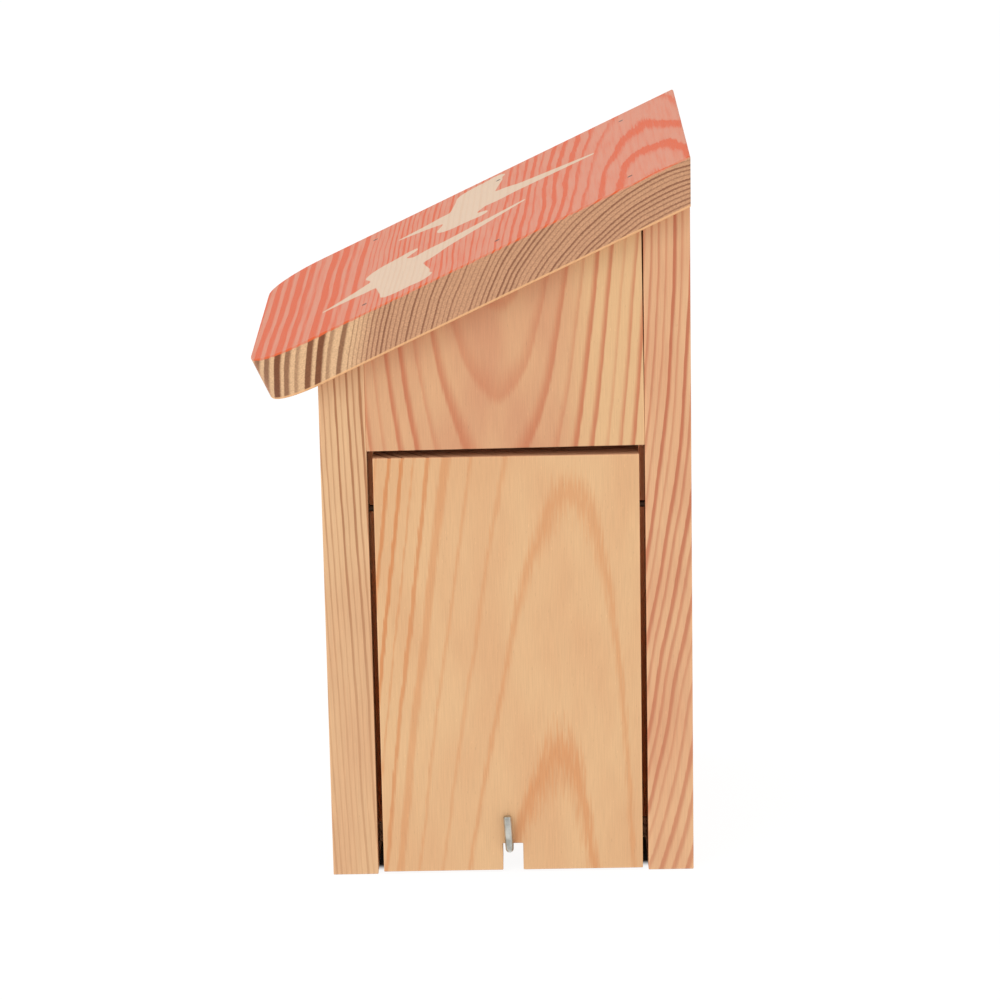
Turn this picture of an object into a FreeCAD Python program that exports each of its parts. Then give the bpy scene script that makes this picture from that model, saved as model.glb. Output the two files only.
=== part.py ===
"""Nest box for small garden birds: a mono-pitch roof board on a box of planed boards.

The right-hand side is a door that swings on two nails and is kept shut by a screw hook.
Frame: +Z up, +X out through the door, -Y out through the entrance hole, origin under the
middle of the bounding box. All sizes are in millimetres and come from the sheet below.
"""

import FreeCAD, Part
import math
import os

import Sketcher
from FreeCAD import Placement, Rotation, Vector

SIZES = [
    # body of boards
    ("inner_width", 120, "nest cavity, side wall to side wall"),
    ("inner_depth", 120, "nest cavity, front wall to back wall"),
    ("wall_thickness", 20, "front, back and side boards, and the door"),
    ("front_height", 225, "front wall, outer face"),
    ("back_height", 300, "back wall, outer face"),
    ("edge_radius", 0.4, "sanded edges of every wall board"),
    # roof
    ("roof_thickness", 20, "roof board"),
    ("roof_front_overhang", 23.5, "underside, along the slope, in front of the front wall"),
    ("roof_side_overhang", 8, "past each side wall"),
    ("roof_corner_radius", 26, "plan radius of the two front corners"),
    ("roof_edge_radius", 0.8, "sanded edges of the roof"),
    # entrance
    ("entrance_diameter", 32, "bird hole in the front wall"),
    ("entrance_drop", 55, "hole centre below the top of the front wall"),
    # floor
    ("floor_thickness", 10, "floor board"),
    ("floor_recess", 7.5, "floor underside above the foot of the walls"),
    ("floor_door_gap", 0.7, "floor edge to the inner face of the shut door"),
    ("drain_diameter", 8, "four drain holes"),
    ("drain_inset", 20, "drain hole centre in from the walls"),
    # fixed panel over the door, and the door
    ("panel_drop", 31, "top of the front wall down to the panel's lower edge"),
    ("panel_skew", 0.8, "the panel's lower edge is cut this much higher at the back"),
    ("panel_taper", 0.7, "the panel's back edge stands off the back wall at the top"),
    ("door_side_gap", 2.5, "door to front wall and door to back wall"),
    ("door_top_gap", 3, "door to the fixed panel"),
    ("door_bottom_gap", 1, "door above the foot of the walls"),
    # hinge nails
    ("pivot_drop", 25, "hinge line below the door's top edge"),
    ("nail_diameter", 2.8, "shank of each hinge nail"),
    ("nail_length", 50, "hinge nail, head to point"),
    ("nail_head_diameter", 5.6, "flat nail head"),
    ("nail_head_thickness", 1.2, "flat nail head, set flush"),
    ("nail_point_length", 3.5, "tapered point"),
    ("nail_clearance", 0.05, "radial, nail in the door"),
    ("nail_end_room", 1, "hole beyond the point"),
    # screw hook
    ("hook_diameter", 3.5, "wire of the square-bend screw hook"),
    ("hook_rise", 3.5, "hook shank above the floor's underside"),
    ("hook_lean", 3, "degrees that the shut hook leans towards the front"),
    ("hook_offset", 1.5, "hook shank in front of the notch's middle"),
    ("hook_leg", 16.3, "shank axis to the end of the upright leg"),
    ("hook_bend_radius", 3, "inside the bend, to the wire's axis"),
    ("hook_face_gap", 0.7, "leg to the door's outer face"),
    ("hook_bite", 22, "shank length held in the floor"),
    ("hook_clearance", 0.05, "radial, shank in the floor"),
    ("hook_end_room", 1, "hole beyond the shank's point"),
    ("hook_tip_radius", 0.6, "rounded end of the leg"),
    ("thread_pitch", 1.6, "ridges of the shank's threaded end"),
    ("thread_depth", 0.45, "ridge height"),
    ("thread_count", 11, "ridges"),
    ("thread_mouth", 1.44, "width of the rings cut between the ridges, at the surface"),
    ("thread_root", 0.16, "width of the same rings at the bottom"),
    ("notch_side_room", 5.5, "notch width beyond the wire"),
    ("notch_top_room", 0.75, "notch above the wire"),
    # brads
    ("brad_diameter", 1.4, "shank of the brads that hold the boards"),
    ("brad_length", 35, "brad, head to end"),
    ("brad_head_diameter", 2.4, "brad head"),
    ("brad_head_thickness", 0.9, "brad head"),
    ("roof_brad_inset", 9, "front roof brads behind the front wall's inner face"),
    ("roof_brad_shift", 6.5, "middle roof brads behind the middle of the cavity"),
    ("roof_brad_set", 3.5, "rear roof brads behind the back wall's inner face"),
    ("low_brad_height", 42, "lowest brad of the tall joints"),
    ("panel_brad_rise", 12, "brad above the fixed panel's lower edge"),
    ("top_brad_drop", 50, "highest back brad below the top of the back wall"),
    ("floor_brad_reach", 35, "floor brads either side of the middle"),
    # keyhole hanger on the back
    ("plate_width", 24, "hanger plate"),
    ("plate_height", 60, "hanger plate"),
    ("plate_thickness", 1.5, "hanger plate, let in flush"),
    ("plate_corner_radius", 3, "hanger plate corners"),
    ("plate_drop", 60, "plate centre below the top of the back wall"),
    ("keyhole_entry", 10, "round part of the keyhole"),
    ("keyhole_slot", 5, "slot part of the keyhole"),
    ("keyhole_rise", 11, "entry centre up to the slot's end centre"),
    ("keyhole_depth", 6, "room for a screw head behind the plate"),
    ("keyhole_room", 2, "hollow behind the plate, beyond the keyhole's edge"),
    ("screw_spacing", 46, "plate screws, centre to centre"),
    ("screw_diameter", 3, "plate screw shank"),
    ("screw_length", 14, "plate screw, face to point"),
    ("screw_head_diameter", 5.6, "countersunk head"),
    ("screw_recess_width", 0.8, "arms of the cross recess"),
    ("screw_recess_reach", 3.2, "cross recess, end to end"),
    ("screw_recess_depth", 1, "cross recess"),
]

NEAR = 0.001  # two coordinates this close are taken to be the same

doc = FreeCAD.newDocument("nest_box")
sheet = doc.addObject("Spreadsheet::Sheet", "Sizes")
for row, (alias, number, meaning) in enumerate(SIZES, start=1):
    sheet.set(f"A{row}", meaning)
    sheet.set(f"B{row}", str(number))
    sheet.setAlias(f"B{row}", alias)
doc.recompute()

# Sizes that follow from the sheet, as expressions.
DEPTH = "(Sizes.inner_depth + 2 * Sizes.wall_thickness)"
WIDTH = "(Sizes.inner_width + 2 * Sizes.wall_thickness)"
SLOPE = f"((Sizes.back_height - Sizes.front_height) / {DEPTH})"
PITCH = f"atan({SLOPE})"
BOARD_RISE = f"(Sizes.wall_thickness * {SLOPE})"
FRONT_REACH = (
    f"(Sizes.roof_front_overhang * cos({PITCH}) + Sizes.roof_thickness * sin({PITCH})"
    f" - Sizes.roof_edge_radius * (cos({PITCH}) + sin({PITCH}) - 1))"
)
MIDDLE_Y = f"({FRONT_REACH} / 2)"
PANEL_BOTTOM = "(Sizes.front_height - Sizes.panel_drop)"
DOOR_TOP = f"({PANEL_BOTTOM} - Sizes.door_top_gap)"
DOOR_WIDTH = "(Sizes.inner_depth - 2 * Sizes.door_side_gap)"
DOOR_HEIGHT = f"({DOOR_TOP} - Sizes.door_bottom_gap)"
PIVOT_HEIGHT = f"({DOOR_TOP} - Sizes.pivot_drop)"
PIVOT_X = "(Sizes.inner_width / 2 + Sizes.wall_thickness / 2)"
HOOK_HEIGHT = "(Sizes.floor_recess + Sizes.hook_rise)"
LEG_X = f"({WIDTH} / 2 + Sizes.hook_face_gap + Sizes.hook_diameter / 2)"
FLOOR_EDGE = "(Sizes.inner_width / 2 - Sizes.floor_door_gap)"
PLATE_HEIGHT = "(Sizes.back_height - Sizes.plate_drop)"


def value(text):
    """The number that an expression stands for."""
    result = sheet.evalExpression(str(text))
    return float(getattr(result, "Value", result))


def new_body(name):
    """An empty body, labelled with the name of its piece."""
    body = doc.addObject("PartDesign::Body", name)
    body.Label = name
    body.AllowCompound = True
    return body


def place(item, x="0", y="0", z="0"):
    """Puts a piece in the nest box; y is measured from the middle of the cavity."""
    item.setExpression("Placement.Base.x", x)
    item.setExpression("Placement.Base.y", f"{MIDDLE_Y} + ({y})")
    item.setExpression("Placement.Base.z", z)


def origin_plane(body, role):
    """One of a body's own origin planes."""
    return next(item for item in body.Origin.OriginFeatures if item.Role == role)


def new_sketch(body, role, name, offset="0"):
    """An empty sketch on an origin plane of its body, moved along the plane's normal."""
    sketch = body.newObject("Sketcher::SketchObject", name)
    sketch.AttachmentSupport = [(origin_plane(body, role), "")]
    sketch.MapMode = "FlatFace"
    sketch.setExpression("AttachmentOffset.Base.z", offset)
    return sketch


def bind(sketch, rule, text):
    """Adds a constraint whose size is an expression."""
    index = sketch.addConstraint(rule)
    sketch.setExpression(f"Constraints[{index}]", text)


def hold(sketch, edge, end, x, y):
    """Fixes one point of a sketch at expressions measured from the sketch's origin."""
    for kind, text in (("DistanceX", x), ("DistanceY", y)):
        bind(sketch, Sketcher.Constraint(kind, -1, 1, edge, end, value(text)), text)


def outline(sketch, corners):
    """A closed straight-sided outline through corners given as pairs of expressions."""
    first = sketch.GeometryCount
    points = [Vector(value(x), value(y), 0) for x, y in corners]
    for start, end in zip(points, points[1:] + points[:1]):
        sketch.addGeometry(Part.LineSegment(start, end))
    for step, (x, y) in enumerate(corners):
        following = first + (step + 1) % len(corners)
        sketch.addConstraint(Sketcher.Constraint("Coincident", first + step, 2, following, 1))
        hold(sketch, first + step, 1, x, y)


def circle(sketch, x, y, radius):
    """A circle whose centre and radius are expressions."""
    centre = Vector(value(x), value(y), 0)
    edge = sketch.addGeometry(Part.Circle(centre, Vector(0, 0, 1), value(radius)))
    hold(sketch, edge, 3, x, y)
    bind(sketch, Sketcher.Constraint("Radius", edge, value(radius)), radius)


def rectangle(sketch, left, low, right, high):
    """An upright rectangle between expressions."""
    outline(sketch, [(left, low), (right, low), (right, high), (left, high)])


def pad(body, sketch, length, both_ways=False, backwards=False):
    """Extrudes a sketch along its plane's normal."""
    feature = body.newObject("PartDesign::Pad", f"{sketch.Name}_pad")
    feature.Profile = sketch
    feature.setExpression("Length", length)
    feature.Midplane = both_ways
    feature.Reversed = backwards
    sketch.Visibility = False
    doc.recompute()
    return feature


def pocket(body, sketch, depth, both_ways=False, backwards=False):
    """Cuts a sketch into its body and makes sure that it removed something."""
    before = body.Shape.Volume
    feature = body.newObject("PartDesign::Pocket", f"{sketch.Name}_pocket")
    feature.Profile = sketch
    feature.setExpression("Length", depth)
    feature.Midplane = both_ways
    feature.Reversed = backwards
    doc.recompute()
    if not body.Shape.Volume < before:
        raise RuntimeError(f"{feature.Name} cuts nothing")
    return feature


def turn(body, sketch):
    """Revolves a sketch about its vertical axis."""
    feature = body.newObject("PartDesign::Revolution", f"{sketch.Name}_turn")
    feature.Profile = sketch
    feature.ReferenceAxis = (sketch, ["V_Axis"])
    feature.Angle = 360
    doc.recompute()
    return feature


def soften(body, base, radius):
    """Rounds every edge of a board, as sanding does."""
    feature = body.newObject("PartDesign::Fillet", f"{body.Name}_edges")
    feature.Base = (base, [])
    feature.UseAllEdges = True
    feature.setExpression("Radius", radius)
    doc.recompute()
    return feature


def round_edges(body, base, name, radius, wanted):
    """Rounds the edges of a feature that pass a test on their end points."""
    edges = []
    for number, edge in enumerate(base.Shape.Edges, start=1):
        if wanted([vertex.Point for vertex in edge.Vertexes]):
            edges.append(f"Edge{number}")
    feature = body.newObject("PartDesign::Fillet", name)
    feature.Base = (base, edges)
    feature.setExpression("Radius", radius)
    doc.recompute()
    return feature


def board(name, corners, thickness, both_ways=False):
    """A sanded board whose outline is drawn in its own YZ plane."""
    body = new_body(name)
    sketch = new_sketch(body, "YZ_Plane", f"{name}_outline")
    outline(sketch, corners)
    soften(body, pad(body, sketch, thickness, both_ways), "Sizes.edge_radius")
    return body


def make_front_wall():
    """Full-width front wall with a bevelled top and the entrance hole."""
    thickness = "Sizes.wall_thickness"
    corners = [
        ("0", "0"),
        (thickness, "0"),
        (thickness, f"Sizes.front_height + {BOARD_RISE}"),
        ("0", "Sizes.front_height"),
    ]
    body = board("front_wall_board", corners, WIDTH, both_ways=True)
    place(body, y=f"-{DEPTH} / 2")
    hole = new_sketch(body, "XZ_Plane", "entrance")
    circle(hole, "0", "Sizes.front_height - Sizes.entrance_drop", "Sizes.entrance_diameter / 2")
    entrance = pocket(body, hole, thickness)
    rim = "Sizes.edge_radius"
    hole_radius = value("Sizes.entrance_diameter / 2")
    round_edges(body, entrance, "entrance_rim", rim, lambda ends: len(ends) == 1
                and abs(abs(ends[0].x) - hole_radius) < value(rim))
    return body


def make_back_wall():
    """Full-width back wall, with a housing for the hanger plate."""
    thickness = "Sizes.wall_thickness"
    corners = [
        ("0", "0"),
        (thickness, "0"),
        (thickness, "Sizes.back_height"),
        ("0", f"Sizes.back_height - {BOARD_RISE}"),
    ]
    body = board("back_wall_board", corners, WIDTH, both_ways=True)
    place(body, y="Sizes.inner_depth / 2")
    housing = new_sketch(body, "XZ_Plane", "plate_housing", f"-{thickness}")
    rectangle(
        housing,
        "-Sizes.plate_width / 2", f"{PLATE_HEIGHT} - Sizes.plate_height / 2",
        "Sizes.plate_width / 2", f"{PLATE_HEIGHT} + Sizes.plate_height / 2",
    )
    cut = pocket(body, housing, "Sizes.plate_thickness", backwards=True)
    radius = "Sizes.plate_corner_radius"
    corner_x = value("Sizes.plate_width / 2")
    corner_z = value("Sizes.plate_height / 2")
    middle_z = value(PLATE_HEIGHT)
    round_edges(body, cut, "plate_housing_corners", radius, lambda ends: len(ends) == 2
                and (ends[0] - ends[1]).cross(Vector(0, 1, 0)).Length < NEAR
                and abs(abs(ends[0].x) - corner_x) < NEAR
                and abs(abs(ends[0].z - middle_z) - corner_z) < NEAR)
    hollow = new_sketch(body, "XZ_Plane", "keyhole_hollow", f"-{thickness}")
    reach = "Sizes.keyhole_entry / 2 + Sizes.keyhole_room"
    middle = f"{PLATE_HEIGHT} - Sizes.keyhole_rise / 2"
    rectangle(
        hollow,
        f"-({reach})", f"{middle} - ({reach})",
        reach, f"{middle} + Sizes.keyhole_rise + {reach}",
    )
    pocket(body, hollow, "Sizes.plate_thickness + Sizes.keyhole_depth", backwards=True)
    return body


def side_outline(bottom="0", skew="0", taper="0"):
    """Outline of a board between the front and back walls, under the slope of the roof."""
    depth = "Sizes.inner_depth"
    top = f"Sizes.back_height - {BOARD_RISE} - {bottom}"
    return [
        ("0", "0"),
        (depth, skew),
        (f"{depth} - {taper}", f"{top} - {taper} * {SLOPE}"),
        ("0", f"Sizes.front_height + {BOARD_RISE} - {bottom}"),
    ]


def make_left_side_panel():
    """Fixed side wall, full height."""
    body = board("left_side_board", side_outline(), "Sizes.wall_thickness")
    place(body, x=f"-{WIDTH} / 2", y="-Sizes.inner_depth / 2")
    return body


def make_right_upper_panel():
    """Fixed panel above the door, cut a little out of square."""
    corners = side_outline(PANEL_BOTTOM, "Sizes.panel_skew", "Sizes.panel_taper")
    body = board("right_upper_board", corners, "Sizes.wall_thickness")
    place(body, x="Sizes.inner_width / 2", y="-Sizes.inner_depth / 2", z=PANEL_BOTTOM)
    return body


def make_side_door():
    """Door, notched at the bottom for the hook, drilled for the two hinge nails."""
    half = f"({DOOR_WIDTH} / 2)"
    notch = "((Sizes.hook_diameter + Sizes.notch_side_room) / 2)"
    notch_top = (
        f"({HOOK_HEIGHT} + Sizes.hook_diameter / 2 + Sizes.notch_top_room"
        " - Sizes.door_bottom_gap)"
    )
    corners = [
        (f"-{half}", "0"), (f"-{notch}", "0"), (f"-{notch}", notch_top),
        (notch, notch_top), (notch, "0"), (half, "0"),
        (half, DOOR_HEIGHT), (f"-{half}", DOOR_HEIGHT),
    ]
    body = board("side_door", corners, "Sizes.wall_thickness")
    place(body, x="Sizes.inner_width / 2", z="Sizes.door_bottom_gap")
    bite = (
        "(Sizes.nail_length + Sizes.nail_end_room - Sizes.wall_thickness"
        " - Sizes.door_side_gap)"
    )
    for end, sign in (("front", "-"), ("rear", "")):
        hole = new_sketch(body, "XZ_Plane", f"{end}_pivot_hole", f"-({sign}{half})")
        circle(
            hole, "Sizes.wall_thickness / 2", f"{DOOR_HEIGHT} - Sizes.pivot_drop",
            "Sizes.nail_diameter / 2 + Sizes.nail_clearance",
        )
        pocket(body, hole, bite, backwards=(end == "rear"))
    return body


def make_floor_board():
    """Floor between the walls, with drain holes and the hook's screw hole."""
    body = new_body("floor_blank")
    sketch = new_sketch(body, "XY_Plane", "floor_outline")
    left = "-Sizes.inner_width / 2"
    deep = "Sizes.inner_depth / 2"
    rectangle(sketch, left, f"-{deep}", FLOOR_EDGE, deep)
    soften(body, pad(body, sketch, "Sizes.floor_thickness"), "Sizes.edge_radius")
    drains = new_sketch(body, "XY_Plane", "drains")
    for side in ("-", ""):
        for end in ("-", ""):
            circle(
                drains,
                f"{side}(Sizes.inner_width / 2 - Sizes.drain_inset)",
                f"{end}({deep} - Sizes.drain_inset)",
                "Sizes.drain_diameter / 2",
            )
    pocket(body, drains, "Sizes.floor_thickness", backwards=True)
    hole = new_sketch(body, "YZ_Plane", "hook_hole", FLOOR_EDGE)
    circle(
        hole, "-Sizes.hook_offset", "Sizes.hook_rise",
        "Sizes.hook_diameter / 2 + Sizes.hook_clearance",
    )
    pocket(body, hole, "Sizes.hook_bite + Sizes.hook_end_room")
    place(body, z="Sizes.floor_recess")
    return body


def make_roof_board():
    """Roof board: square front end with rounded corners, plumb-cut back end."""
    body = new_body("roof_blank")
    sketch = new_sketch(body, "YZ_Plane", "roof_outline")
    thickness = "Sizes.roof_thickness"
    run = f"({DEPTH} / cos({PITCH}))"
    outline(sketch, [
        ("-Sizes.roof_front_overhang", "0"),
        (run, "0"),
        (f"{run} + {thickness} * {SLOPE}", thickness),
        ("-Sizes.roof_front_overhang", thickness),
    ])
    width = f"{WIDTH} + 2 * Sizes.roof_side_overhang"
    slab = pad(body, sketch, width, both_ways=True)
    front = value("-Sizes.roof_front_overhang")
    corners = round_edges(
        body, slab, "roof_front_corners", "Sizes.roof_corner_radius",
        lambda ends: all(abs(end.y - front) < NEAR for end in ends)
        and abs(ends[0].x - ends[1].x) < NEAR,
    )
    soften(body, corners, "Sizes.roof_edge_radius")
    place_on_slope(body)
    return body


def place_on_slope(body):
    """Tilts a body to the roof's pitch about the front wall's top outer edge."""
    body.Placement = Placement(Vector(), Rotation(Vector(1, 0, 0), value(PITCH)))
    body.setExpression("Placement.Rotation.Angle", PITCH)
    place(body, y=f"-{DEPTH} / 2", z="Sizes.front_height")


def make_brads(name, role, spots, face="0", backwards=False):
    """Headed brads, one for each spot, driven from a face along a plane's normal."""
    body = new_body(name)
    pins = new_sketch(body, role, f"{name}_pins", face)
    heads = new_sketch(body, role, f"{name}_heads", face)
    for x, y in spots:
        circle(pins, x, y, "Sizes.brad_diameter / 2")
        circle(heads, x, y, "Sizes.brad_head_diameter / 2")
    pad(body, pins, "Sizes.brad_length", backwards=backwards)
    pad(body, heads, "Sizes.brad_head_thickness", backwards=backwards)
    return body


def make_roof_brads():
    """Brads through the roof into the tops of the side walls and of the back wall."""
    front = "Sizes.wall_thickness + Sizes.roof_brad_inset"
    middle = f"{DEPTH} / 2 + Sizes.roof_brad_shift"
    rear = f"{DEPTH} - Sizes.wall_thickness + Sizes.roof_brad_set"
    spots = []
    for side in ("-", ""):
        for level in (front, middle, rear):
            spots.append((f"{side}{PIVOT_X}", f"({level}) / cos({PITCH})"))
    body = make_brads("roof_brads", "XY_Plane", spots, "Sizes.roof_thickness", backwards=True)
    place_on_slope(body)
    return body


def floor_spots():
    """Brad places along the middle of the floor's edge."""
    height = "Sizes.floor_recess + Sizes.floor_thickness / 2"
    return [(f"{side}Sizes.floor_brad_reach", height) for side in ("-", "")]


def make_front_wall_brads():
    """Brads through the front wall into the side walls and the floor."""
    left = f"-{PIVOT_X}"
    middle = f"(Sizes.low_brad_height + {PANEL_BOTTOM} + Sizes.panel_brad_rise) / 2"
    high = f"{PANEL_BOTTOM} + Sizes.panel_brad_rise"
    spots = [(left, "Sizes.low_brad_height"), (left, middle), (left, high), (PIVOT_X, high)]
    body = make_brads("front_wall_brads", "XZ_Plane", spots + floor_spots(), backwards=True)
    place(body, y=f"-{DEPTH} / 2")
    return body


def make_back_wall_brads():
    """Brads through the back wall into the side walls and the floor."""
    left = f"-{PIVOT_X}"
    high = "Sizes.back_height - Sizes.top_brad_drop"
    middle = f"(Sizes.low_brad_height + {high}) / 2"
    spots = [(left, "Sizes.low_brad_height"), (left, middle), (left, high), (PIVOT_X, high)]
    spots.append((PIVOT_X, f"{PANEL_BOTTOM} + Sizes.panel_brad_rise"))
    body = make_brads("back_wall_brads", "XZ_Plane", spots + floor_spots())
    place(body, y=f"{DEPTH} / 2")
    return body


def make_pivot_nail(name, quarter_turn, y):
    """Flat-headed nail on the hinge line, its head flush with the wall."""
    body = new_body(name)
    profile = new_sketch(body, "XZ_Plane", f"{name}_profile")
    shank = "Sizes.nail_diameter / 2"
    head = "Sizes.nail_head_diameter / 2"
    outline(profile, [
        ("0", "0"),
        (head, "0"),
        (head, "Sizes.nail_head_thickness"),
        (shank, "Sizes.nail_head_thickness"),
        (shank, "Sizes.nail_length - Sizes.nail_point_length"),
        ("0", "Sizes.nail_length"),
    ])
    turn(body, profile)
    body.Placement = Placement(Vector(), Rotation(Vector(1, 0, 0), quarter_turn))
    place(body, x=PIVOT_X, y=y, z=PIVOT_HEIGHT)
    return body


def make_door_hook():
    """Square-bend screw hook: shank in the floor, leg upright across the door."""
    body = new_body("door_hook")
    radius = "Sizes.hook_diameter / 2"
    bend = value("Sizes.hook_bend_radius")
    leg = value("Sizes.hook_leg")
    reach = value(f"{LEG_X} - {FLOOR_EDGE} + Sizes.hook_bite")
    route = new_sketch(body, "XZ_Plane", "hook_route")
    route.addGeometry(Part.LineSegment(Vector(-reach, 0, 0), Vector(-bend, 0, 0)))
    route.addGeometry(Part.ArcOfCircle(
        Part.Circle(Vector(-bend, bend, 0), Vector(0, 0, 1), bend), math.radians(-90), 0))
    route.addGeometry(Part.LineSegment(Vector(0, bend, 0), Vector(0, leg, 0)))
    route.addConstraint(Sketcher.Constraint("Coincident", 0, 2, 1, 1))
    route.addConstraint(Sketcher.Constraint("Coincident", 1, 2, 2, 1))
    hold(route, 0, 1, f"-({LEG_X} - {FLOOR_EDGE} + Sizes.hook_bite)", "0")
    hold(route, 0, 2, "-Sizes.hook_bend_radius", "0")
    hold(route, 1, 3, "-Sizes.hook_bend_radius", "Sizes.hook_bend_radius")
    bind(route, Sketcher.Constraint("DistanceY", -1, 1, 2, 1, bend), "Sizes.hook_bend_radius")
    hold(route, 2, 2, "0", "Sizes.hook_leg")
    section = new_sketch(
        body, "YZ_Plane", "hook_section", f"-({LEG_X} - {FLOOR_EDGE} + Sizes.hook_bite)")
    circle(section, "0", "0", radius)
    wire = body.newObject("PartDesign::AdditivePipe", "hook_wire")
    wire.Profile = section
    wire.Spine = (route, ["Edge1", "Edge2", "Edge3"])
    doc.recompute()
    tip = value("Sizes.hook_leg")
    rounded = round_edges(
        body, wire, "hook_tip", "Sizes.hook_tip_radius",
        lambda ends: len(ends) == 1 and abs(ends[0].z - tip) < NEAR,
    )
    cut_ridges(body, rounded)
    body.Placement = Placement(Vector(), Rotation(Vector(1, 0, 0), value("Sizes.hook_lean")))
    body.setExpression("Placement.Rotation.Angle", "Sizes.hook_lean")
    place(body, x=LEG_X, y="-Sizes.hook_offset", z=HOOK_HEIGHT)
    return body


def cut_ridges(body, base):
    """Rings cut round the shank's buried end leave the ridges of its thread."""
    ring_place = f"(Sizes.thread_pitch - ({LEG_X} - {FLOOR_EDGE} + Sizes.hook_bite))"
    outer = "Sizes.hook_diameter / 2"
    sketch = new_sketch(body, "XY_Plane", "hook_ring")
    root = f"({outer} - Sizes.thread_depth)"
    outline(sketch, [
        (f"{ring_place} - Sizes.thread_mouth / 2", f"{outer} + Sizes.hook_clearance"),
        (f"{ring_place} - Sizes.thread_root / 2", root),
        (f"{ring_place} + Sizes.thread_root / 2", root),
        (f"{ring_place} + Sizes.thread_mouth / 2", f"{outer} + Sizes.hook_clearance"),
    ])
    ring = body.newObject("PartDesign::Groove", "hook_first_ring")
    ring.Profile = sketch
    ring.ReferenceAxis = (sketch, ["H_Axis"])
    ring.Angle = 360
    doc.recompute()
    if not ring.Shape.Volume < base.Shape.Volume:
        raise RuntimeError("the thread ring cuts nothing")
    rings = body.newObject("PartDesign::LinearPattern", "hook_rings")
    rings.Originals = [ring]
    rings.Direction = (sketch, ["H_Axis"])
    rings.setExpression("Length", "Sizes.thread_pitch * (Sizes.thread_count - 1)")
    rings.setExpression("Occurrences", "Sizes.thread_count")
    body.Tip = rings
    doc.recompute()


def make_hanger_plate():
    """Steel keyhole plate, drawn from its middle, before its screw holes are cut."""
    body = new_body("hanger_plate_blank")
    sketch = new_sketch(body, "XZ_Plane", "plate_outline")
    wide = "(Sizes.plate_width / 2)"
    tall = "(Sizes.plate_height / 2)"
    rectangle(sketch, f"-{wide}", f"-{tall}", wide, tall)
    sheet_metal = pad(body, sketch, "Sizes.plate_thickness")
    round_edges(
        body, sheet_metal, "plate_corners", "Sizes.plate_corner_radius",
        lambda ends: len(ends) == 2 and abs(ends[0].x - ends[1].x) < NEAR
        and abs(ends[0].z - ends[1].z) < NEAR,
    )
    entry = new_sketch(body, "XZ_Plane", "keyhole_entry_outline")
    circle(entry, "0", "-Sizes.keyhole_rise / 2", "Sizes.keyhole_entry / 2")
    pocket(body, entry, "Sizes.plate_thickness", backwards=True)
    slot = new_sketch(body, "XZ_Plane", "keyhole_slot_outline")
    rectangle(
        slot,
        "-Sizes.keyhole_slot / 2", "-Sizes.keyhole_rise / 2",
        "Sizes.keyhole_slot / 2", "Sizes.keyhole_rise / 2",
    )
    pocket(body, slot, "Sizes.plate_thickness", backwards=True)
    end = new_sketch(body, "XZ_Plane", "keyhole_end_outline")
    circle(end, "0", "Sizes.keyhole_rise / 2", "Sizes.keyhole_slot / 2")
    pocket(body, end, "Sizes.plate_thickness", backwards=True)
    place(body, y=f"{DEPTH} / 2", z=PLATE_HEIGHT)
    return body


def make_hanger_screw(name, side):
    """Countersunk screw blank of the hanger plate, pointing into the back wall."""
    body = new_body(name)
    profile = new_sketch(body, "XZ_Plane", f"{name}_profile")
    shank = "Sizes.screw_diameter / 2"
    head = "Sizes.screw_head_diameter / 2"
    outline(profile, [
        ("0", "0"),
        (head, "0"),
        (shank, f"{head} - {shank}"),
        (shank, "Sizes.screw_length - Sizes.screw_diameter"),
        ("0", "Sizes.screw_length"),
    ])
    turn(body, profile)
    body.Placement = Placement(Vector(), Rotation(Vector(1, 0, 0), 90))
    place(body, y=f"{DEPTH} / 2", z=f"{PLATE_HEIGHT} {side} Sizes.screw_spacing / 2")
    return body


def make_recesses():
    """Boxes that cut the cross recess into the heads of both plate screws."""
    boxes = []
    reach = "Sizes.screw_recess_reach"
    width = "Sizes.screw_recess_width"
    for side in ("-", "+"):
        for across, up in ((reach, width), (width, reach)):
            box = doc.addObject("Part::Box", "recess_arm")
            box.setExpression("Length", across)
            box.setExpression("Width", "2 * Sizes.screw_recess_depth")
            box.setExpression("Height", up)
            height = f"{PLATE_HEIGHT} {side} Sizes.screw_spacing / 2 - {up} / 2"
            place(box, f"-{across} / 2", f"{DEPTH} / 2 - Sizes.screw_recess_depth", height)
            boxes.append(box)
    return boxes


def group(name, items):
    """Several pieces taken together."""
    compound = doc.addObject("Part::Compound", name)
    compound.Label = name
    compound.Links = items
    return compound


def cut_from(name, base, tool):
    """The piece that is left when a tool shape is taken out of a blank."""
    piece = doc.addObject("Part::Cut", name)
    piece.Label = name
    piece.Base = base
    piece.Tool = tool
    return piece


def check(pieces):
    """Stops unless every feature worked and every piece is a sound solid."""
    for item in doc.Objects:
        if "Invalid" in item.State or "Error" in item.State:
            raise RuntimeError(f"{item.Name} failed: {item.State}")
    for piece in pieces:
        shape = piece.Shape
        if shape.isNull() or not shape.isValid() or not shape.Solids:
            raise RuntimeError(f"{piece.Label} has no valid solid")


front_brads = make_front_wall_brads()
back_brads = make_back_wall_brads()
roof_brads = make_roof_brads()
front_nail = make_pivot_nail("front_pivot_nail", -90, f"-{DEPTH} / 2")
rear_nail = make_pivot_nail("rear_pivot_nail", 90, f"{DEPTH} / 2")
screws = [make_hanger_screw("low_screw_blank", "-"), make_hanger_screw("high_screw_blank", "+")]
fixings = group("fixings", [front_brads, back_brads, roof_brads, front_nail, rear_nail] + screws)

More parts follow.
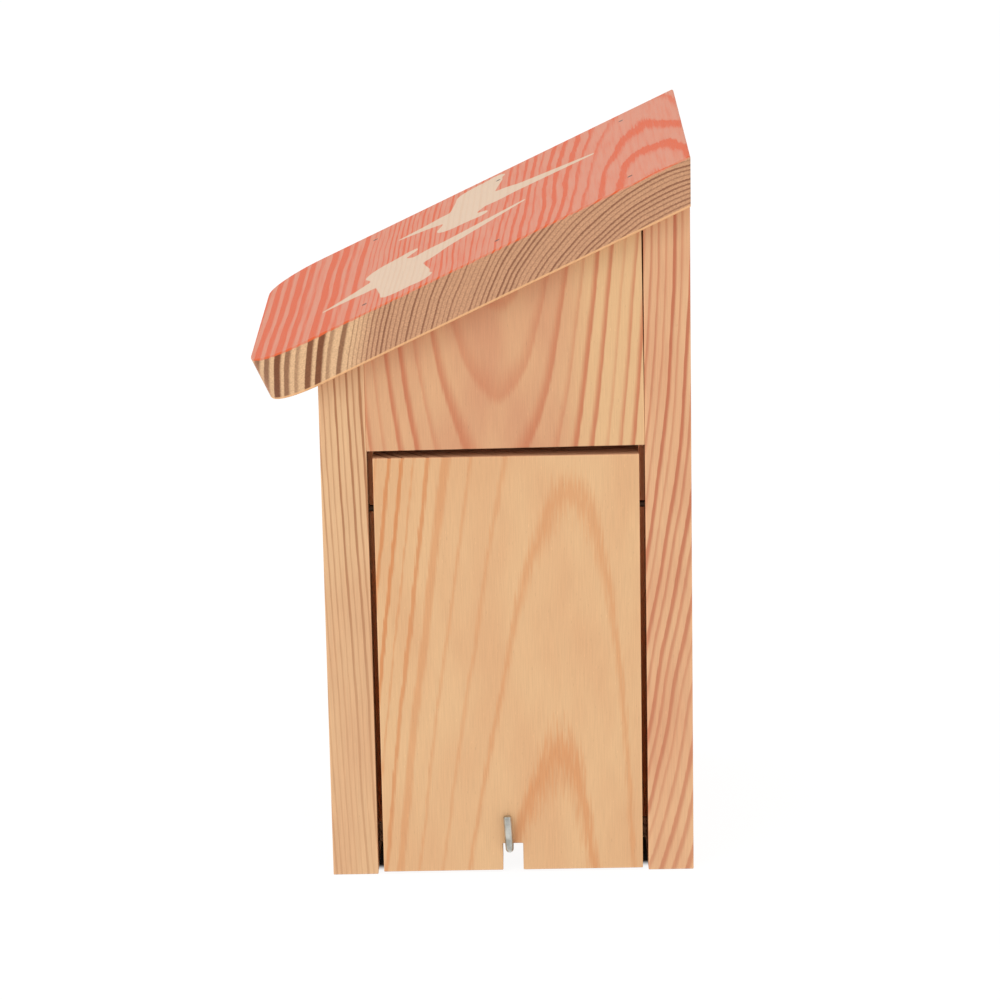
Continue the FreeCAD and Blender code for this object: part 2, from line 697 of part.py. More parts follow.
blanks = {
    "roof_board": make_roof_board(),
    "front_wall": make_front_wall(),
    "back_wall": make_back_wall(),
    "left_side_panel": make_left_side_panel(),
    "right_upper_panel": make_right_upper_panel(),
    "floor_board": make_floor_board(),
    "hanger_plate": make_hanger_plate(),
}
pieces = [cut_from(name, blank, fixings) for name, blank in blanks.items()]
recesses = group("screw_recesses", make_recesses())
pieces.append(cut_from("hanger_screws", group("screw_blanks", screws), recesses))
pieces += [front_brads, back_brads, roof_brads, front_nail, rear_nail]
pieces += [make_side_door(), make_door_hook()]

doc.recompute()
check(pieces)
os.makedirs("parts", exist_ok=True)
for piece in pieces:
    piece.Shape.exportStep(f"parts/{piece.Label}.step")
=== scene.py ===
"""The looks of the nest box: planed pine, a coral stain on the roof, zinc, bare steel and a white studio.

Every wooden board is cut, in its shader, out of a tree of its own: growth rings run round a centre line, so
that the same rings show as arches on the board's face, as lines on its edges and as arcs on its ends.
"""

import math
from dataclasses import dataclass

import bpy
from mathutils import Matrix, Vector


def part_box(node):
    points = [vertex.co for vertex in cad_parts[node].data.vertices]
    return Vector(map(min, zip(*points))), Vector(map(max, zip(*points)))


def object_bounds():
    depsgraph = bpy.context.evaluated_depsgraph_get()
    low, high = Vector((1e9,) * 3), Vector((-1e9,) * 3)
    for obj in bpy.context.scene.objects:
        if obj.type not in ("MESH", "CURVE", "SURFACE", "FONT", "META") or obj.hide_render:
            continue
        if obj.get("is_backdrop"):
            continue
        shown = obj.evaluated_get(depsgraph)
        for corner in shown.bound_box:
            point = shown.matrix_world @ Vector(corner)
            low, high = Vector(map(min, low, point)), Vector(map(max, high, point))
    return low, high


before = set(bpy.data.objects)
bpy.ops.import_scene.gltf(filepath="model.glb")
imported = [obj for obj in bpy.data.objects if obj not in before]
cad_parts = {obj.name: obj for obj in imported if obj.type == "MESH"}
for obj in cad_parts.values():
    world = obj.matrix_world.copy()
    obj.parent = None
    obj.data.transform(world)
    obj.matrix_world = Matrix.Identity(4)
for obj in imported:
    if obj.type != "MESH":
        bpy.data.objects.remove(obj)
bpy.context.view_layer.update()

MM = 0.001
UP = Vector((0, 0, 1))
RIGHT = Vector((1, 0, 0))
BACK = Vector((0, 1, 0))

# Noise runs from 0 to 1 and lies mostly in the middle. Patterns are stretched from one of these ranges.
WIDE = (0.2, 0.8)
USUAL = (0.25, 0.75)
NARROW = (0.3, 0.7)


def srgb(red, green, blue):
    """A colour given as screen values from 0 to 255, as the linear colour that shaders take."""
    linear = []
    for value in (red, green, blue):
        value /= 255
        linear.append(value / 12.92 if value <= 0.04045 else ((value + 0.055) / 1.055) ** 2.4)
    return (*linear, 1.0)


# ---------------------------------------------------------------- node trees


class Field:
    """A number that varies over a surface. Arithmetic with fields adds the nodes that work it out."""

    def __init__(self, shader, socket):
        self.shader = shader
        self.socket = socket

    def __add__(self, other):
        return self.shader.math("ADD", self, other)

    def __sub__(self, other):
        return self.shader.math("SUBTRACT", self, other)

    def __mul__(self, other):
        return self.shader.math("MULTIPLY", self, other)

    def __truediv__(self, other):
        return self.shader.math("DIVIDE", self, other)

    def __rsub__(self, other):
        return self.shader.math("SUBTRACT", other, self)

    __radd__ = __add__
    __rmul__ = __mul__


class Shader:
    """One material and short calls for the nodes that it is made of. Lengths in it are millimetres."""

    def __init__(self, name):
        self.material = bpy.data.materials.new(name)
        self.material.use_nodes = True
        self.tree = self.material.node_tree
        self.tree.nodes.clear()
        self.surface = self.tree.nodes.new("ShaderNodeBsdfPrincipled")
        output = self.tree.nodes.new("ShaderNodeOutputMaterial")
        self.tree.links.new(self.surface.outputs["BSDF"], output.inputs["Surface"])
        self.coordinates = self.tree.nodes.new("ShaderNodeTexCoord")

    def feed(self, socket, value):
        """Gives a socket a number, a colour, a vector or a field."""
        if isinstance(value, Field):
            self.tree.links.new(value.socket, socket)
        else:
            socket.default_value = value

    def node(self, kind, inputs=(), output=0, **settings):
        """Adds a node, feeds its inputs by number or name and gives one of its outputs as a field."""
        node = self.tree.nodes.new(kind)
        for name, value in settings.items():
            setattr(node, name, value)
        for key, value in dict(inputs).items():
            self.feed(node.inputs[key], value)
        return Field(self, node.outputs[output])

    def math(self, operation, *values):
        return self.node("ShaderNodeMath", enumerate(values), operation=operation)

    def dot(self, *vectors):
        """The dot product of two vectors."""
        return self.node("ShaderNodeVectorMath", enumerate(vectors), output="Value", operation="DOT_PRODUCT")

    def along(self, direction, start):
        """How far a point lies along a direction from a start, which is a place of the frame in metres."""
        place = Field(self, self.coordinates.outputs["Object"])
        return self.dot(place, direction / MM) - start.dot(direction) / MM

    def facing(self, direction):
        """1 where the surface faces this way or straight away from it, and 0 where it lies along it."""
        normal = Field(self, self.coordinates.outputs["Normal"])
        return self.math("ABSOLUTE", self.dot(normal, direction))

    def noise(self, x, y, z, detail=2.0, rough=0.5):
        """Smooth noise from 0 to 1 whose grains are one unit of x, y and z long."""
        place = self.node("ShaderNodeCombineXYZ", enumerate((x, y, z)))
        return self.node(
            "ShaderNodeTexNoise", {"Vector": place, "Scale": 1.0, "Detail": detail, "Roughness": rough}
        )

    def chance(self, number):
        """A random number from 0 to 1 for each whole number."""
        return self.node("ShaderNodeTexWhiteNoise", {"W": number}, noise_dimensions="1D")

    def step(self, value, low, high, start=0.0, end=1.0):
        """Goes smoothly from start to end as value goes from low to high."""
        return self.node(
            "ShaderNodeMapRange", enumerate((value, low, high, start, end)), interpolation_type="SMOOTHSTEP"
        )

    def mix(self, share, first, second):
        """The first colour where share is 0, and the second where it is 1."""
        return self.node("ShaderNodeMix", {0: share, 6: first, 7: second}, output=2, data_type="RGBA")

    def shade(self, colour, brightness):
        """A colour made brighter or darker by a field around 1."""
        return self.node("ShaderNodeVectorMath", {0: colour, "Scale": brightness}, operation="SCALE")

    def bump(self, height, depth):
        """The normal of a surface whose height goes from 0 to 1 over this depth."""
        return self.node("ShaderNodeBump", {"Strength": 1.0, "Distance": depth * MM, "Height": height})

    def paint(self, name, value):
        self.feed(self.surface.inputs[name], value)


def dress(material, *nodes):
    """Gives CAD nodes a material in place of the plain one that they came with."""
    for name in nodes:
        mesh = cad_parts[name].data
        mesh.materials.clear()
        mesh.materials.append(material)


# ---------------------------------------------------------------- wood


# How long each pattern of the wood is along the grain, and how wide across it, in millimetres.
WANDER_SIZE = (110, 38)  # slow wandering of the rings
RAGGED_SIZE = (13, 0.8)  # fraying of their edges
FIBRE_SIZE = (15, 0.42)
FLECK_SIZE = (2.6, 0.5)
CLOUD_SIZE = (70, 22)  # slow changes of tone

# How the rings grow. Distances from the turn are negative inside it.
TURN_CHANGE = (-3.0, 6.0)  # millimetres from the turn between which the share of late wood changes
HEART_CHANGE = (-1.15, -0.95)  # inner rings from the turn between which the heart ends
LATE_FADE = (0.86, 1.0)  # part of a ring's width over which its late wood fades into the next ring
LATE_SHARE_OF_YEAR = (0.7, 1.15)  # in the poorest and the best year, as a share of the board's late wood
LATE_TONE_OF_YEAR = (0.5, 1.0)  # how dark it is in the same two years

END_FACING = (0.1, 0.6)  # how squarely a surface cuts the grain to begin to be an end, and to be one
FADE_REACH = 80.0  # how far to each side, along the grain, a board's contrast changes, in millimetres
SAPWOOD_BLUR = 12.0  # how far to each side the edge of the sapwood spreads, in millimetres
WEAR = (0.1, 1.0)  # millimetres from an edge between which its wear fades
WEAR_RAGGED = 1.2
WEAR_GLOW = 0.1  # how much brighter a worn edge is

# A range of the noise, and the brightness at either end of it.
FIBRE_TONES = (*USUAL, 0.93, 1.05)
PORE_TONES = (0.14, 0.24, 0.88, 1.0)
# Painted glints: bright flecks in the colour that stand in for light catching the wood.
PAINTED_GLINT_TONES = (0.78, 0.86, 1.0, 1.12)

# What stands proud, each by its share, and the full depth in millimetres.
PLANED_RELIEF = {"late": 0.45, "fibre": 0.4, "fleck": 0.15}
SAWN_RELIEF = {"fibre": 0.5, "fleck": 0.9}
RELIEF_DEPTH = 0.14

WOOD_ROUGHNESS = (0.52, 0.66)
END_ROUGHNESS = 0.15  # added on the ends
WOOD_SPECULAR = 0.3
END_EARLY = srgb(192, 142, 106)
END_LATE = srgb(128, 80, 54)


@dataclass
class Board:
    """How a board was cut from its tree. Lengths are millimetres from a place on its show face."""

    grain: Vector  # the way the tree grew
    face: Vector  # out of the show face
    centre: Vector  # that place, in metres: the middle of the face, or on the roof of its lower edge
    pith_depth: float = 60.0  # from the show face back to the tree's centre line
    pith_aside: float = 0.0  # from the centre to that line, across the face
    lean: float = 0.0  # how that line drifts aside, for each millimetre of grain
    taper: float = 0.05  # how it sinks away from the face, for each millimetre of grain
    swell: float = 0.0  # how that sinking grows, for each square millimetre
    inner_rings: float = 4.0  # width of a ring inside the turn
    outer_rings: float = 4.0  # width of a ring outside the turn
    turn: float = 60.0  # radius where the ring width changes, and where a ring ends
    waviness: float = 2.0  # slow wandering of the rings
    fray: float = 0.5  # raggedness of a ring's edge, fibre by fibre
    late_share: float = 0.5  # share of an inner ring that is dark late wood
    late_share_outside: float = 0.4  # the same outside the turn
    late_share_heart: float = 0.5  # the same further in than one ring inside the turn
    soft: float = 0.16  # how slowly late wood begins, as a share of the ring
    early: tuple = srgb(216, 173, 129)
    late: tuple = srgb(190, 122, 84)
    cloud: tuple = srgb(208, 156, 114)  # what the early wood drifts towards
    pale: tuple = srgb(222, 177, 133)  # colour of the sapwood at one side
    pale_aside: float = 1000.0  # how far aside the sapwood begins
    contrast: float = 0.9
    contrast_low: float = 0.9  # the same at the board's lower end


@dataclass
class Grain:
    """The fields of a board that its colours, its gloss and its relief are made of."""

    along: Field
    aside: Field
    depth: Field
    radius: Field
    late: Field
    fibre: Field
    fleck: Field
    cloud: Field
    end: Field
    wear: Field

    @property
    def place(self):
        return self.along, self.aside, self.depth

    def blend(self, shares):
        """Fields of the board added up, each by its share."""
        return sum(getattr(self, name) * share for name, share in shares.items())


def drawn(shader, place, size, **look):
    """Noise drawn out along the grain, for a place along it, aside of it and in depth."""
    along, aside, depth = place
    length, width = size
    return shader.noise(along / length, aside / width, depth / width, **look)


def edge_wear(shader, node, centre, directions, place, ragged):
    """1 along the worn edges of a board, and 0 further in."""
    corners = [vertex.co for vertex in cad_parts[node].data.vertices]
    insets = []
    for direction, reach in zip(directions, place):
        reaches = [(corner - centre).dot(direction) / MM for corner in corners]
        low = min(reaches)
        high = max(reaches)
        off_middle = shader.math("ABSOLUTE", reach - (low + high) / 2)
        insets.append((high - low) / 2 - off_middle)
    first, second, third = insets
    # The middle one of the three insets is the distance to the nearest edge.
    nearer = shader.math("MINIMUM", first, second)
    farther = shader.math("MAXIMUM", first, second)
    to_edge = shader.math("MAXIMUM", nearer, shader.math("MINIMUM", farther, third))
    return shader.step(to_edge + ragged * WEAR_RAGGED, *WEAR, 1.0, 0.0)


def cut_board(shader, node, board):
    """Works out the grain of a board."""
    directions = (board.grain, board.grain.cross(board.face), board.face)
    place = [shader.along(direction, board.centre) for direction in directions]
    along, aside, depth = place
    wander = drawn(shader, place, WANDER_SIZE) - 0.5
    ragged = drawn(shader, place, RAGGED_SIZE, detail=1) - 0.5
    behind = along * board.taper + along * along * board.swell + depth + board.pith_depth
    beside = aside - along * board.lean - board.pith_aside
    distance = shader.math("SQRT", behind * behind + beside * beside)
    radius = distance + wander * (2 * board.waviness) + ragged * (2 * board.fray) - board.turn
    inside = shader.math("MINIMUM", radius, 0.0)
    outside = shader.math("MAXIMUM", radius, 0.0)
    count = inside / board.inner_rings + outside / board.outer_rings
    age = shader.math("FRACT", count)
    year = shader.chance(shader.math("FLOOR", count))
    share = shader.step(radius, *TURN_CHANGE, board.late_share, board.late_share_outside)
    heart_start, heart_end = (rings * board.inner_rings for rings in HEART_CHANGE)
    heart = shader.step(radius, heart_start, heart_end, 1.0, 0.0)
    share = share * (1 - heart) + heart * board.late_share_heart
    onset = 1 - share * shader.step(year, 0.0, 1.0, *LATE_SHARE_OF_YEAR)
    darkening = shader.step(age, onset - board.soft, onset + board.soft)
    fading = shader.step(age, *LATE_FADE, 1.0, 0.0)
    return Grain(
        along=along,
        aside=aside,
        depth=depth,
        radius=radius,
        late=darkening * fading * shader.step(year, 0.0, 1.0, *LATE_TONE_OF_YEAR),
        fibre=drawn(shader, place, FIBRE_SIZE, detail=3, rough=0.65),
        fleck=drawn(shader, place, FLECK_SIZE, detail=0),
        cloud=drawn(shader, place, CLOUD_SIZE),
        end=shader.step(shader.facing(board.grain), *END_FACING),
        wear=edge_wear(shader, node, board.centre, directions, place, ragged),
    )


def wood_colour(shader, board, grain, end_early, end_late):
    """Bare wood: rings, slow changes of tone, fine fibres, darker thirsty ends, and painted glints on some
    flecks.
    """
    body = shader.mix(shader.step(grain.cloud, *NARROW), board.early, board.cloud)
    sapwood_start = board.pale_aside - SAPWOOD_BLUR
    sapwood_end = board.pale_aside + SAPWOOD_BLUR
    body = shader.mix(shader.step(grain.aside, sapwood_start, sapwood_end), body, board.pale)
    contrast = shader.step(grain.along, -FADE_REACH, FADE_REACH, board.contrast_low, board.contrast)
    face = shader.mix(grain.late * contrast, body, board.late)
    ends = shader.mix(grain.late, end_early, end_late)
    colour = shader.mix(grain.end, face, ends)
    fibres = shader.step(grain.fibre, *FIBRE_TONES)
    pores = shader.step(grain.fleck, *PORE_TONES)
    # Painted glints: some flecks are made brighter than the wood around them.
    painted_glints = shader.step(grain.fleck, *PAINTED_GLINT_TONES)
    return shader.shade(colour, fibres * pores * painted_glints * (grain.wear * WEAR_GLOW + 1))


def wood_relief(shader, grain):
    """Planing leaves the hard late wood proud, and saw-cut ends are rougher than the faces."""
    height = grain.blend(PLANED_RELIEF) * (1 - grain.end) + grain.blend(SAWN_RELIEF) * grain.end
    return shader.bump(height, RELIEF_DEPTH)


def finish_wood(shader, grain, colour):
    """Sets colour, gloss and relief of a wooden surface."""
    shader.paint("Base Color", colour)
    roughness = shader.step(grain.fibre, *WIDE, *WOOD_ROUGHNESS) + grain.end * END_ROUGHNESS
    shader.paint("Roughness", roughness)
    shader.paint("Specular IOR Level", WOOD_SPECULAR)
    shader.paint("Normal", wood_relief(shader, grain))


def dress_bare(node, board):
    """Gives an unpainted board its wood."""
    shader = Shader(f"pine_{node}")
    grain = cut_board(shader, node, board)
    finish_wood(shader, grain, wood_colour(shader, board, grain, END_EARLY, END_LATE))
    dress(shader.material, node)


def middle(node, face):
    """Middle of the face of a CAD node's box that looks this way, for a face along an axis."""
    low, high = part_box(node)
    half = (high - low) / 2
    return (low + high) / 2 + Vector(a * b for a, b in zip(half, face))


# How each board below the roof was cut. The door and the panel above it come from two different planks.
WALLS = {
    "side_door": dict(
        grain=UP, face=RIGHT, pith_depth=63.5, pith_aside=23.3, lean=0.066, taper=0.06, inner_rings=7.1,
        outer_rings=4.0, turn=90.4, waviness=1.2, fray=0.8, soft=0.09, late_share=0.55,
        late_share_outside=0.32, late_share_heart=0.24, early=srgb(219, 176, 130), late=srgb(206, 137, 86),
        cloud=srgb(214, 166, 121), contrast=1.0,
    ),
    "right_upper_panel": dict(
        grain=UP, face=RIGHT, pith_depth=51.0, pith_aside=-4.0, taper=-0.1, turn=54.0, waviness=1.0,
        fray=0.3, soft=0.2, late_share=0.42, late_share_outside=0.34, late_share_heart=0.4,
        early=srgb(212, 162, 120), late=srgb(191, 112, 76), cloud=srgb(203, 145, 108),
        pale=srgb(218, 175, 128), pale_aside=30.0, contrast=0.85,
    ),
    "front_wall": dict(
        grain=UP, face=-BACK, pith_depth=70.0, pith_aside=-10.0, taper=-0.04, turn=80.0, inner_rings=2.6,
        outer_rings=1.4, waviness=1.0, fray=0.15, soft=0.12, late_share_outside=0.4,
        early=srgb(219, 176, 132), late=srgb(166, 110, 72), cloud=srgb(213, 166, 124), contrast=0.95,
        contrast_low=0.4,
    ),
    "back_wall": dict(
        grain=UP, face=BACK, pith_depth=-62.0, pith_aside=14.0, taper=-0.15, swell=0.0005, turn=80.0,
        inner_rings=3.0, outer_rings=2.2, waviness=1.6, fray=0.2, soft=0.18, late_share_outside=0.46,
        early=srgb(220, 173, 130), late=srgb(184, 104, 72), cloud=srgb(213, 158, 118), contrast=0.95,
        contrast_low=0.7,
    ),
    "left_side_panel": dict(grain=UP, face=-RIGHT, pith_depth=58.0, pith_aside=12.0, taper=0.07, lean=-0.04),
    "floor_board": dict(grain=RIGHT, face=UP, pith_depth=75.0, pith_aside=-20.0),
}


def dress_walls():
    """Gives the unpainted boards their wood."""
    for node, cut in WALLS.items():
        dress_bare(node, Board(centre=middle(node, cut["face"]), **cut))


# ---------------------------------------------------------------- the roof


def roof_measures():
    """The direction out of the roof's top, the middle of the top's lower edge, and the board's thickness."""
    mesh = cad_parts["roof_board"].data
    top = max((face for face in mesh.polygons if face.normal.z > 0), key=lambda face: face.area)
    out = top.normal.copy()
    upslope = out.cross(RIGHT)
    eaves = min(vertex.co.dot(upslope) for vertex in mesh.vertices)
    heights = [vertex.co.dot(out) for vertex in mesh.vertices]
    lower_edge = upslope * eaves + out * max(heights)
    thickness = (max(heights) - min(heights)) / MM
    return out, lower_edge, thickness


def limb(shader, x, y, start, end):
    """Distance to a tapering limb, negative inside it. Its start and its end are each (x, y, radius)."""
    start_x, start_y, start_radius = start
    end_x, end_y, end_radius = end
    run_x = end_x - start_x
    run_y = end_y - start_y
    square = run_x ** 2 + run_y ** 2
    east = x - start_x
    north = y - start_y
    share = shader.math("MULTIPLY_ADD", east, run_x / square, north * (run_y / square))
    share = shader.math("MAXIMUM", shader.math("MINIMUM", share, 1.0), 0.0)
    aside = east - share * run_x
    above = north - share * run_y
    reach = shader.math("SQRT", aside * aside + above * above)
    return reach - (share * (end_radius - start_radius) + start_radius)


# The limbs of a bird, each from (x, y, radius) to (x, y, radius): x runs from its beak to its tail, up the
# slope, and y away from the middle line.
BIRD = (
    ((2, 0, 1.0), (22, 0, 7.5)),  # beak and head
    ((26, 0, 9), (50, -1, 12)),  # body
    ((52, -2, 9.5), (98, -6, 1.6)),  # tail
    ((38, 8, 11), (42, 34, 11.5)),  # wings
    ((42, 34, 11), (50, 44, 5)),
    ((36, -6, 11), (30, -22, 8.5)),
    ((30, -22, 8), (42, -27, 4.5)),
)
BIRD_JOIN = 4.0  # how softly the limbs run into each other
BIRD_BLUR = 0.2  # how far to each side of its outline its colour turns into the stain's
MIDDLE_BLUR = 0.5  # how far to each side of the middle line one bird's place turns into the other's

# Where a bird flies: how far up the slope its beak is, how far it is from the middle line, and its slant.
FAR_BIRD = (67.5, 40, 0.12)
NEAR_BIRD = (33, 44, 0.30)


def birds(shader, x, slope):
    """1 inside the two flying birds on the roof, one on each side of its middle line."""
    near = shader.step(x, -MIDDLE_BLUR, MIDDLE_BLUR)
    beak, away, slant = (near * (last - first) + first for first, last in zip(FAR_BIRD, NEAR_BIRD))
    lengthways = slope - beak
    sideways = shader.math("ABSOLUTE", x) - away + lengthways * slant
    shape = None
    for start, end in BIRD:
        part = limb(shader, lengthways, sideways, start, end)
        shape = part if shape is None else shader.math("SMOOTH_MIN", shape, part, BIRD_JOIN)
    return shader.step(shape, -BIRD_BLUR, BIRD_BLUR, 1.0, 0.0)


# The roof board, in millimetres and shares.
OLD_WOOD = (-12.0, 2.0)  # distances from the turn between which its ends change colour
TEAR_SIZE = 0.9  # of the splinters on its sawn edges
TEAR_TONES = (*NARROW, 0.84, 1.13)
LOWER_EDGE_HIGHLIGHT = (0.8, 1.3)  # heights above its underside between which the painted highlight on the lower edge ends
# how strongly the painted highlight shows on the lower edge
LOWER_EDGE_HIGHLIGHT_SHARE = 0.8
BRUSH_SIZE = 3.0
BRUSH_REACH = 0.9  # how much the brush moves the border of the stain up and down
STAIN_EDGE = (-0.5, -0.2)  # heights from the top, negative below it, between which the stain begins
STREAK_SIZE = (45, 1.8)
STREAK_STAIN = 0.7  # how much of the stain's strength comes from the streaks
LATE_STAIN = 0.5  # how much comes from the late wood
LATE_CREAM = 0.5  # how much the late wood shows through the cream of the birds
STAIN_TONES = (*USUAL, 0.95, 1.04)


def bare_roof(shader, board, grain, thickness):
    """The unpainted edges and underside: torn pine, duller at the heart, with a painted highlight along the
    lower edge.
    """
    old_wood = shader.step(grain.radius, *OLD_WOOD, 1.0, 0.0)
    end_early = shader.mix(old_wood, srgb(218, 176, 134), srgb(196, 146, 111))
    end_late = shader.mix(old_wood, srgb(118, 68, 40), srgb(140, 93, 67))
    bare = wood_colour(shader, board, grain, end_early, end_late)
    torn = shader.noise(
        grain.along / TEAR_SIZE, grain.aside / TEAR_SIZE, grain.depth / (TEAR_SIZE / 2), detail=2, rough=0.7
    )
    bare = shader.shade(bare, shader.step(torn, *TEAR_TONES))
    # Painted highlight: the lower edge of the sides is lightened, as if its rounding caught the light.
    lower_edge = shader.step(grain.depth + thickness, *LOWER_EDGE_HIGHLIGHT, 1.0, 0.0)
    return shader.mix(lower_edge * LOWER_EDGE_HIGHLIGHT_SHARE, bare, srgb(235, 180, 128))


def stained_roof(shader, grain):
    """The top: coral stain that is stronger in streaks and on the late wood, and two birds in cream."""
    cream = shader.mix(grain.late * LATE_CREAM, srgb(214, 186, 160), srgb(209, 172, 143))
    streak = drawn(shader, grain.place, STREAK_SIZE, detail=3, rough=0.6)
    strength = shader.step(streak * STREAK_STAIN + grain.late * LATE_STAIN, *USUAL)
    coral = shader.mix(strength, srgb(209, 135, 108), srgb(211, 92, 48))
    upslope = grain.aside * -1.0
    top = shader.mix(birds(shader, grain.along, upslope), coral, cream)
    return shader.shade(top, shader.step(grain.fibre, *STAIN_TONES))


def dress_roof():
    """Coral stain on the top of the board, thin enough to show its rings, over bare pine."""
    out, lower_edge, thickness = roof_measures()
    shader = Shader("roof_coral_stain")
    board = Board(
        grain=RIGHT, face=out, centre=lower_edge, pith_depth=112.0, pith_aside=-192.0, taper=-0.026,
        turn=178.0, inner_rings=1.9, outer_rings=4.6, waviness=1.6, fray=0.2, late_share=0.42,
        late_share_outside=0.62, late_share_heart=0.42,
    )
    grain = cut_board(shader, "roof_board", board)
    bare = bare_roof(shader, board, grain, thickness)
    brush = shader.noise(*(reach / BRUSH_SIZE for reach in grain.place))
    on_top = shader.step(grain.depth + brush * BRUSH_REACH, *STAIN_EDGE)
    finish_wood(shader, grain, shader.mix(on_top, bare, stained_roof(shader, grain)))
    dress(shader.material, "roof_board")


# ---------------------------------------------------------------- metal


PATCH_SIZE = 5.0
SPECK_SIZE = 0.3
PATCH_SHARE = 0.85  # of the steel's colour that follows the patches, and not the specks
PATCH_GLOSS = 0.08  # how much the roughness varies to each side
SPECK_DEPTH = 0.004


def steel(name, nodes, dark, light, roughness):
    """Drawn or stamped steel with a patchy, slightly dulled skin."""
    shader = Shader(name)
    place = [shader.along(direction, Vector()) for direction in (RIGHT, BACK, UP)]
    patches = shader.noise(*(reach / PATCH_SIZE for reach in place), detail=3)
    specks = shader.noise(*(reach / SPECK_SIZE for reach in place), detail=1)
    tone = shader.step(patches * PATCH_SHARE + specks * (1 - PATCH_SHARE), *NARROW)
    shader.paint("Metallic", 1.0)
    shader.paint("Base Color", shader.mix(tone, dark, light))
    shader.paint("Roughness", shader.step(patches, *USUAL, roughness - PATCH_GLOSS, roughness + PATCH_GLOSS))
    shader.paint("Normal", shader.bump(specks, SPECK_DEPTH))
    dress(shader.material, *nodes)


def dress_metal():
    """Zinc for the hook and the hanger, and duller, darker steel for the nails."""
    steel(
        "zinc_steel", ("door_hook", "hanger_plate", "hanger_screws"),
        dark=srgb(150, 150, 143), light=srgb(205, 205, 198), roughness=0.34,
    )
    steel(
        "nail_steel",
        ("front_pivot_nail", "rear_pivot_nail", "roof_brads", "front_wall_brads", "back_wall_brads"),
        dark=srgb(66, 50, 38), light=srgb(104, 84, 68), roughness=0.5,
    )


# ---------------------------------------------------------------- studio


FLOOR_REACH = 12.0  # to each side, in metres
FLOOR_GAP = 0.05 * MM  # below the object
FLOOR_GLOW = 0.92
FLOOR_GREY = srgb(90, 90, 90)

# Painted shade: the shade that the box would cast on the floor, painted into its glow, in millimetres.
PAINTED_SHADE_SIDE = (12, 4)  # how far in from the sides it is full, and how far in it ends
PAINTED_SHADE_END = (8, 0)  # the same at the front and the back
PAINTED_NOTCH_LIGHT = (8.0, 50.0)  # distances from the middle of the notch over which its painted light gives way to painted shade


def body_middle():
    """Middle of the box below its roof."""
    return (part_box("front_wall")[0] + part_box("back_wall")[1]) / 2


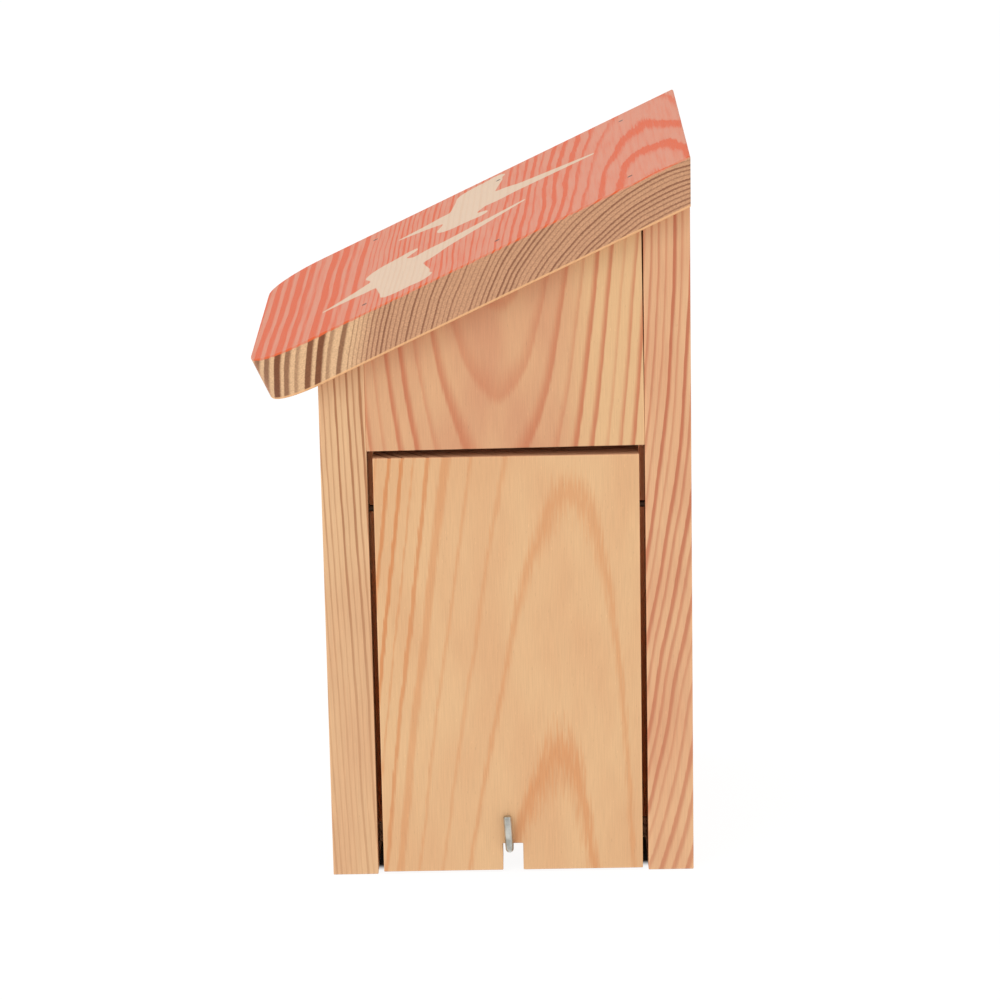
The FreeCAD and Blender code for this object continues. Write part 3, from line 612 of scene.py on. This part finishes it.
def floor():
    """A plain white floor that glows a little, so that it stays white, and runs out of view on every side.

    The box's shade on the floor under it is painted in by dimming the glow, but for the light that comes in
    through the notch of the door.
    """
    mesh = bpy.data.meshes.new("studio_floor")
    corners = [(x * FLOOR_REACH, y * FLOOR_REACH, 0) for x, y in ((-1, -1), (1, -1), (1, 1), (-1, 1))]
    mesh.from_pydata(corners, [], [(0, 1, 2, 3)])
    sheet = bpy.data.objects.new("studio_floor", mesh)
    bpy.context.scene.collection.objects.link(sheet)
    sheet.location.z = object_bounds()[0].z - FLOOR_GAP
    paper = Shader("studio_paper")
    aside = paper.math("ABSOLUTE", paper.along(BACK, body_middle()))
    across = paper.math("ABSOLUTE", paper.along(RIGHT, body_middle()))
    half = (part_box("back_wall")[1].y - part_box("front_wall")[0].y) / 2 / MM  # of the body, which is square
    # Painted shade: the glow is dimmed under the box, except near the notch.
    painted_shade_under = 1.0
    for reach, insets in ((across, PAINTED_SHADE_SIDE), (aside, PAINTED_SHADE_END)):
        full, none = (half - inset for inset in insets)
        painted_shade_under = painted_shade_under * paper.step(reach, full, none, 1.0, 0.0)
    shade = painted_shade_under * paper.step(aside, *PAINTED_NOTCH_LIGHT)
    paper.paint("Base Color", FLOOR_GREY)
    paper.paint("Roughness", 1.0)
    paper.paint("Specular IOR Level", 0.0)
    paper.paint("Emission Color", srgb(255, 255, 255))
    paper.paint("Emission Strength", FLOOR_GLOW * (1 - shade))
    mesh.materials.append(paper.material)
    sheet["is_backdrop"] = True


def light(name, place, target, size, power):
    """A soft square lamp that looks at a point."""
    lamp = bpy.data.lights.new(name, "AREA")
    lamp.size = size
    lamp.energy = power
    holder = bpy.data.objects.new(name, lamp)
    bpy.context.scene.collection.objects.link(holder)
    holder.location = place
    holder.rotation_euler = (Vector(target) - Vector(place)).to_track_quat("-Z", "Y").to_euler()


def studio():
    """White surroundings, the floor, one large lamp and the small one that lights the gaps round the door."""
    world = bpy.data.worlds.new("studio")
    world.use_nodes = True
    world.node_tree.nodes["Background"].inputs["Color"].default_value = (1, 1, 1, 1)
    world.node_tree.nodes["Background"].inputs["Strength"].default_value = 1.0
    bpy.context.scene.world = world
    bpy.context.scene.view_settings.view_transform = "Standard"
    floor()
    nest = body_middle()
    light("key", place=(1.6, -1.5, 1.9), target=(0, 0, 0.15), size=1.6, power=18.0)
    light("light_inside", place=nest, target=nest - RIGHT, size=0.05, power=0.045)


CAMERA_PLACE = Vector((1.6573, 0.02495, 0.6041))
CAMERA_PITCH = math.radians(15.34)
CAMERA_YAW = math.radians(-0.473)
CAMERA_ROLL = math.radians(-1.114)
CAMERA_LENS = 136.2
SENSOR_WIDTH = 36.0


def camera():
    """Looks along -X at the door side, a little from above."""
    level = math.cos(CAMERA_PITCH)
    ahead = Vector((-level * math.cos(CAMERA_YAW), level * math.sin(CAMERA_YAW), -math.sin(CAMERA_PITCH)))
    right = ahead.cross(UP).normalized()
    up = right.cross(ahead)
    turned = math.cos(CAMERA_ROLL) * right + math.sin(CAMERA_ROLL) * up
    upper = math.cos(CAMERA_ROLL) * up - math.sin(CAMERA_ROLL) * right
    lens = bpy.data.cameras.new("camera")
    lens.lens = CAMERA_LENS
    lens.sensor_width = SENSOR_WIDTH
    holder = bpy.data.objects.new("camera", lens)
    bpy.context.scene.collection.objects.link(holder)
    axes = Matrix((turned, upper, -ahead)).transposed()
    holder.matrix_world = Matrix.LocRotScale(CAMERA_PLACE, axes.to_quaternion(), None)
    bpy.context.scene.camera = holder


dress_walls()
dress_roof()
dress_metal()
studio()
camera()
